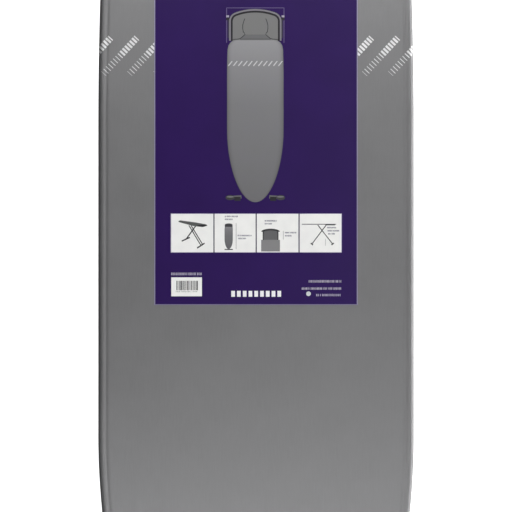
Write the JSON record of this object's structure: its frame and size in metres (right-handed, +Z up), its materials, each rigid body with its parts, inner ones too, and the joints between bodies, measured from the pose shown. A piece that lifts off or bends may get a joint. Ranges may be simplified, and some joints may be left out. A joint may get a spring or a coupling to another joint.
{
  "type": "ironing board",
  "caption": "Folding ironing board with a padded tapered top, a tubular iron rest, scissor legs on T-shaped feet and a stepless height lock.",
  "frame": {"origin": "on the floor, under the middle of the board's length and width with its iron rest, legs set up", "axes": "+Y from the nose to the iron rest, +X across the board to the right when looking along +Y, +Z up"},
  "size_m": [0.43, 1.43, 0.8345],
  "materials": {
    "cover": "woven cotton, metallised grey",
    "elastic": "matt",
    "padding": "needled felt",
    "mesh_paint": "satin",
    "frame_paint": "satin black powder coat",
    "zinc_steel": "zinc plated",
    "black_plastic": "fine grain",
    "tray_plastic": "fine grain",
    "mat_rubber": "silicone, ribbed",
    "card": "satin printed card",
    "tyre_rubber": "matt"
  },
  "bodies": {
    "board": {"cover": "cover", "hem_elastic": "elastic", "pad": "padding", "mesh_top": "mesh_paint", "edge_tube": "frame_paint", "nose_cross_member": "frame_paint", "middle_cross_member": "frame_paint", "pivot_cross_member": "frame_paint", "heel_cross_member": "frame_paint", "left_rail": "frame_paint", "right_rail": "frame_paint", "rail_screws": "zinc_steel", "guide_rod": "zinc_steel", "guide_rod_clips": "zinc_steel", "left_pivot_bracket": "frame_paint", "right_pivot_bracket": "frame_paint", "pivot_bracket_screws": "zinc_steel", "head_pin": "zinc_steel", "head_pin_clip": "zinc_steel", "rest_tube": "frame_paint", "rest_tube_clamps": "frame_paint", "rest_cross_bars": "frame_paint", "rest_tray": "tray_plastic", "rest_mat": "mat_rubber", "rest_screws": "zinc_steel", "display_card": "card"},
    "nose_leg": {"nose_leg_tube": "frame_paint", "nose_leg_head": "black_plastic", "nose_foot_socket": "black_plastic", "nose_foot_bar": "frame_paint", "left_nose_foot_cap": "black_plastic", "right_nose_foot_cap": "black_plastic", "cross_bolt": "zinc_steel", "cross_bolt_nut": "zinc_steel", "cross_spacers": "black_plastic", "left_wheel_bracket": "frame_paint", "right_wheel_bracket": "frame_paint", "wheel_pins": "zinc_steel"},
    "left_wheel": {"left_wheel": "black_plastic", "left_wheel_tyre": "tyre_rubber"},
    "right_wheel": {"right_wheel": "black_plastic", "right_wheel_tyre": "tyre_rubber"},
    "heel_leg": {"left_heel_leg_tube": "frame_paint", "right_heel_leg_tube": "frame_paint", "left_heel_leg_head": "black_plastic", "right_heel_leg_head": "black_plastic", "cross_bushes": "black_plastic", "heel_leg_brace": "frame_paint", "heel_foot_bar": "frame_paint", "left_heel_foot_cap": "black_plastic", "right_heel_foot_cap": "black_plastic"},
    "carriage": {"slide_axle": "zinc_steel", "lock_housing": "black_plastic", "left_slide_shoe": "black_plastic", "right_slide_shoe": "black_plastic", "squeeze_bar": "frame_paint", "lever_pin": "zinc_steel", "lever_spring": "zinc_steel"},
    "lever": {"release_lever": "zinc_steel", "lever_grip": "black_plastic"}
  },
  "joints": [
    {"name": "leg_fold", "type": "hinge", "parent": "board", "child": "nose_leg", "pos_m": [0, 0.26, 0.78557], "axis": [-1, 0, 0], "range_deg": [-15, 53]},
    {"name": "leg_cross", "type": "hinge", "parent": "nose_leg", "child": "heel_leg", "pos_m": [0, 0.11987, 0.55309], "axis": [1, 0, 0], "range_deg": [-30, 106]},
    {"name": "slide_pivot", "type": "hinge", "parent": "heel_leg", "child": "carriage", "pos_m": [0, -0.02026, 0.78557], "axis": [-1, 0, 0], "range_deg": [-15, 53]},
    {"name": "lever_squeeze", "type": "hinge", "parent": "carriage", "child": "lever", "pos_m": [-0.013, -0.03226, 0.80557], "axis": [0, 0, 1], "range_deg": [0, 5], "stiffness_Nm_per_rad": 10, "springref_deg": -5.73},
    {"name": "left_wheel_spin", "type": "hinge", "parent": "nose_leg", "child": "left_wheel", "pos_m": [-0.134, -0.31253, 0.02746], "axis": [1, 0, 0], "continuous": true},
    {"name": "right_wheel_spin", "type": "hinge", "parent": "nose_leg", "child": "right_wheel", "pos_m": [0.134, -0.31253, 0.02746], "axis": [1, 0, 0], "continuous": true}
  ],
  "couplings": [
    {"joint": "leg_cross", "follows": "leg_fold", "ratio": 2},
    {"joint": "slide_pivot", "follows": "leg_fold", "ratio": 1}
  ]
}
